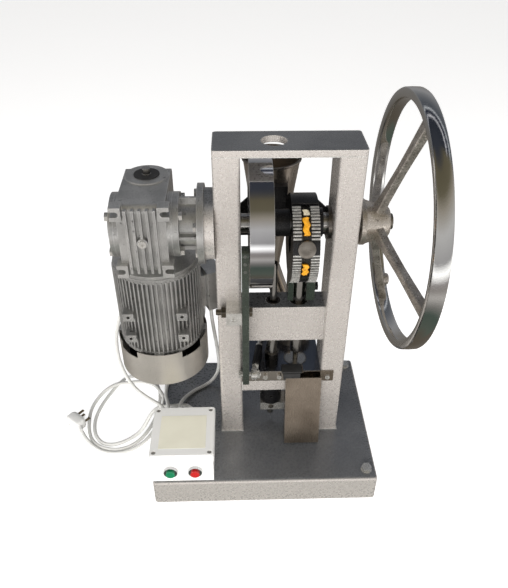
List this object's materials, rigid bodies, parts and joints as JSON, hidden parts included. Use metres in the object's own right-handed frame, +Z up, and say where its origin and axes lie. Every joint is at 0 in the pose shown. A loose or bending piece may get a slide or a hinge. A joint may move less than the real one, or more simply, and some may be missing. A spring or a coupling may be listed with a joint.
{
  "type": "tablet press",
  "caption": "Bench tablet press with a portal frame, worm-geared motor, cam drum, toothed punch ring, hand wheel, feed shoe and hopper.",
  "frame": {"origin": "Midway over the machine in X and Y, on the surface it stands on.", "axes": "+Z up, +X to the hand wheel's side, -Y is the operator's side with the push buttons."},
  "size_m": [0.6285, 0.4, 0.697],
  "materials": {
    "black": "black plastic",
    "black_steel": "black oxide",
    "bronze": "bearing bronze",
    "cable": "white flexible sheath",
    "cast": "plated cast iron with a polished rim",
    "cast_alu": "cast aluminium",
    "chrome": "polished chrome",
    "cowl": "silver-beige sheet",
    "green": "green button",
    "paint": "silver-grey metallic paint",
    "red": "red button",
    "rubber": "black rubber",
    "stainless": "stainless sheet",
    "steel": "ground steel",
    "table": "polished die table, blued",
    "white": "white moulded plastic",
    "zinc": "zinc-plated steel"
  },
  "bodies": {
    "frame": {"base_cover": "paint", "rubber_feet": "rubber", "base_bolts": "zinc", "left_upright": "paint", "right_upright": "paint", "top_plate": "paint", "upper_beam": "paint", "lower_beam": "paint", "die_table": "table", "die": "steel", "plain_bushes": "bronze", "frame_boss": "paint", "gearbox_flange": "cast_alu", "gearbox_housing": "cast_alu", "gearbox_cover": "cast_alu", "gearbox_bolts": "zinc", "worm_seal": "rubber", "motor_flange": "cast_alu", "motor_body": "cast_alu", "fan_cowl": "cowl", "terminal_box": "cast_alu", "hopper_bracket": "black_steel", "hopper": "stainless", "hopper_spout": "stainless", "pivot_block": "zinc", "pivot_pin": "zinc", "chute": "stainless", "cap_screws": "zinc", "control_box": "white", "control_lid": "white", "button_bezels": "zinc", "cable_glands": "white", "motor_cables": "cable", "mains_cord": "cable", "mains_plug": "white"},
    "main_shaft": {"main_shaft": "chrome", "cam_drum": "chrome", "shaft_sleeve": "black_steel", "eccentric": "steel", "worm_wheel": "bronze", "wheel_rim": "cast", "wheel_spokes": "cast"},
    "worm_rotor": {"worm_shaft": "steel", "motor_rotor": "steel", "cooling_fan": "black"},
    "ram": {"toothed_ring": "steel", "ring_pin": "steel", "ram_fork": "steel", "fork_bolt": "zinc", "ram_rod": "chrome", "upper_punch": "chrome"},
    "lift": {"lift_rod": "chrome", "lift_yoke": "steel", "lower_punch": "chrome"},
    "adjuster": {"adjusting_nut": "black_steel"},
    "lever": {"feed_lever": "steel"},
    "shoe": {"feed_link": "zinc", "feed_shoe": "stainless"},
    "green_button": {"green_button": "green"},
    "red_button": {"red_button": "red"}
  },
  "joints": [
    {"name": "main_shaft_turn", "type": "hinge", "parent": "frame", "child": "main_shaft", "pos_m": [0, 0, 0.497], "axis": [1, 0, 0], "continuous": true},
    {"name": "worm_turn", "type": "hinge", "parent": "frame", "child": "worm_rotor", "pos_m": [-0.155, 0.05, 0.497], "axis": [0, 0, 1], "continuous": true},
    {"name": "upper_punch_slide", "type": "slide", "parent": "frame", "child": "ram", "axis": [0, 0, 1], "range_m": [0, 0.05]},
    {"name": "lower_punch_slide", "type": "slide", "parent": "frame", "child": "lift", "axis": [0, 0, 1], "range_m": [0, 0.012]},
    {"name": "ejection_nut_turn", "type": "hinge", "parent": "lift", "child": "adjuster", "pos_m": [0.044, 0, 0.13], "axis": [0, 0, 1], "continuous": true},
    {"name": "feed_lever_swing", "type": "hinge", "parent": "frame", "child": "lever", "pos_m": [-0.004, -0.05, 0.361], "axis": [-1, 0, 0], "range_deg": [0, 14]},
    {"name": "feed_shoe_slide", "type": "slide", "parent": "frame", "child": "shoe", "axis": [0, -1, 0], "range_m": [0, 0.0348]},
    {"name": "green_button_press", "type": "slide", "parent": "frame", "child": "green_button", "axis": [0, 1, 0], "range_m": [0, 0.004], "stiffness_N_per_m": 300, "springref_m": -0.002},
    {"name": "red_button_press", "type": "slide", "parent": "frame", "child": "red_button", "axis": [0, 1, 0], "range_m": [0, 0.004], "stiffness_N_per_m": 300, "springref_m": -0.002}
  ],
  "couplings": [
    {"joint": "worm_turn", "follows": "main_shaft_turn", "ratio": 30},
    {"joint": "feed_shoe_slide", "follows": "feed_lever_swing", "m_per_rad": 0.1418}
  ]
}
